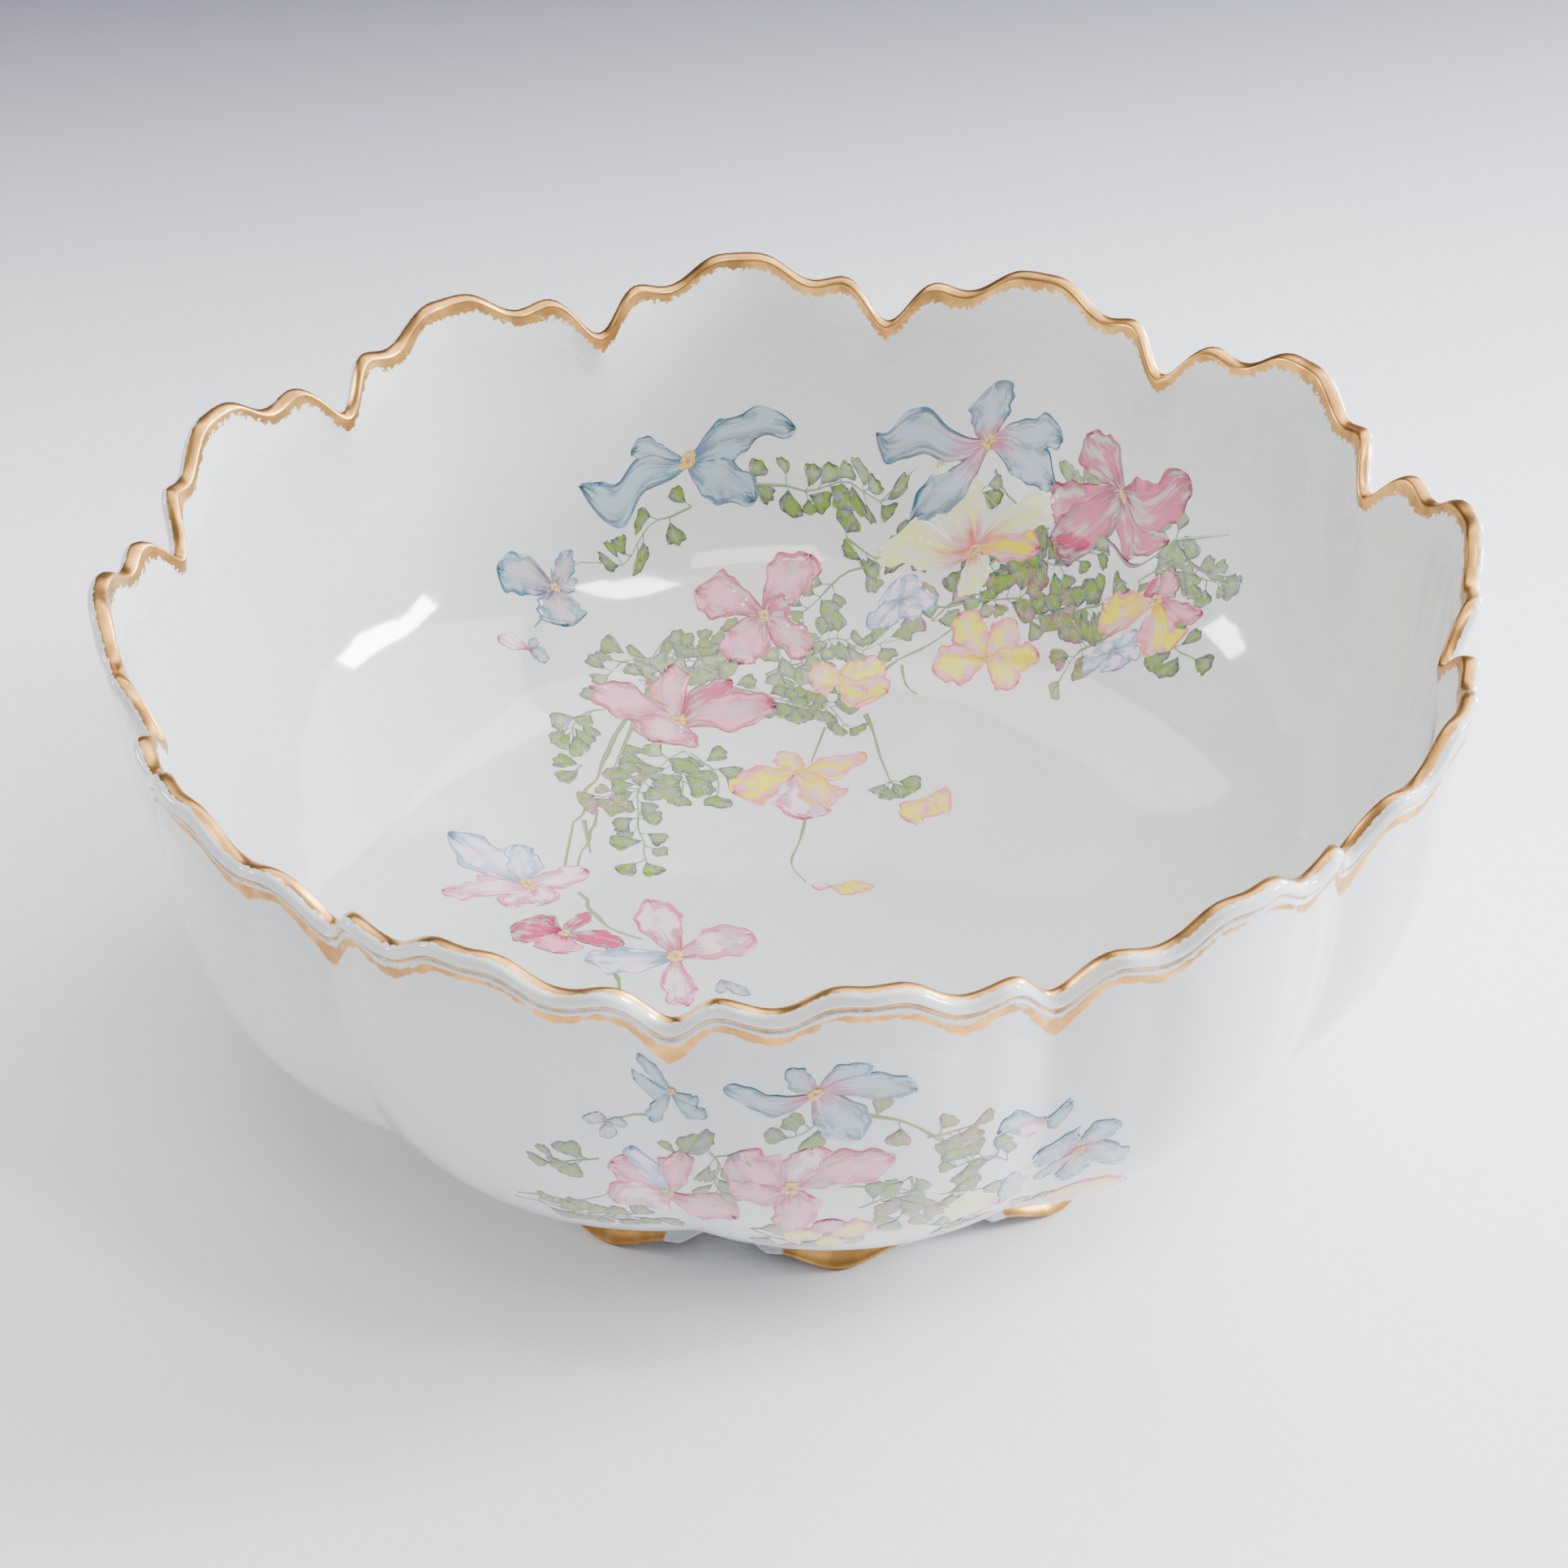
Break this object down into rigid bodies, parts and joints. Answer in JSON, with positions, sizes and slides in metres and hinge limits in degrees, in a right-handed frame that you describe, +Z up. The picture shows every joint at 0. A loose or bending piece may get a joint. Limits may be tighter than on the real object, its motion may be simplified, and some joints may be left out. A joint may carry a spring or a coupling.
{
  "type": "porcelain serving bowl",
  "caption": "Round lobed porcelain serving bowl with a scalloped gilded rim, creased wall, scrolled feet and floral decoration.",
  "frame": {"origin": "on the bowl's axis, in the plane of the table that the feet stand on", "axes": "+Z up along the bowl's axis; -Y through the middle of the lobe and foot that face the viewer; +X to the right as seen from there"},
  "size_m": [0.25, 0.25, 0.0987],
  "materials": {
    "porcelain": "gloss",
    "gold": "satin"
  },
  "bodies": {
    "root": {"bowl_body": "porcelain", "rim_gilding": "gold", "groove_gilding": "gold", "drip_gilding": "gold", "foot_01": "porcelain", "foot_02": "porcelain", "foot_03": "porcelain", "foot_04": "porcelain", "foot_05": "porcelain", "foot_06": "porcelain", "foot_07": "porcelain", "foot_08": "porcelain", "foot_09": "porcelain", "foot_10": "porcelain", "foot_11": "porcelain", "foot_12": "porcelain", "foot_gilding_01": "gold", "foot_gilding_02": "gold", "foot_gilding_03": "gold", "foot_gilding_04": "gold", "foot_gilding_05": "gold", "foot_gilding_06": "gold", "foot_gilding_07": "gold", "foot_gilding_08": "gold", "foot_gilding_09": "gold", "foot_gilding_10": "gold", "foot_gilding_11": "gold", "foot_gilding_12": "gold"}
  },
  "joints": []
}
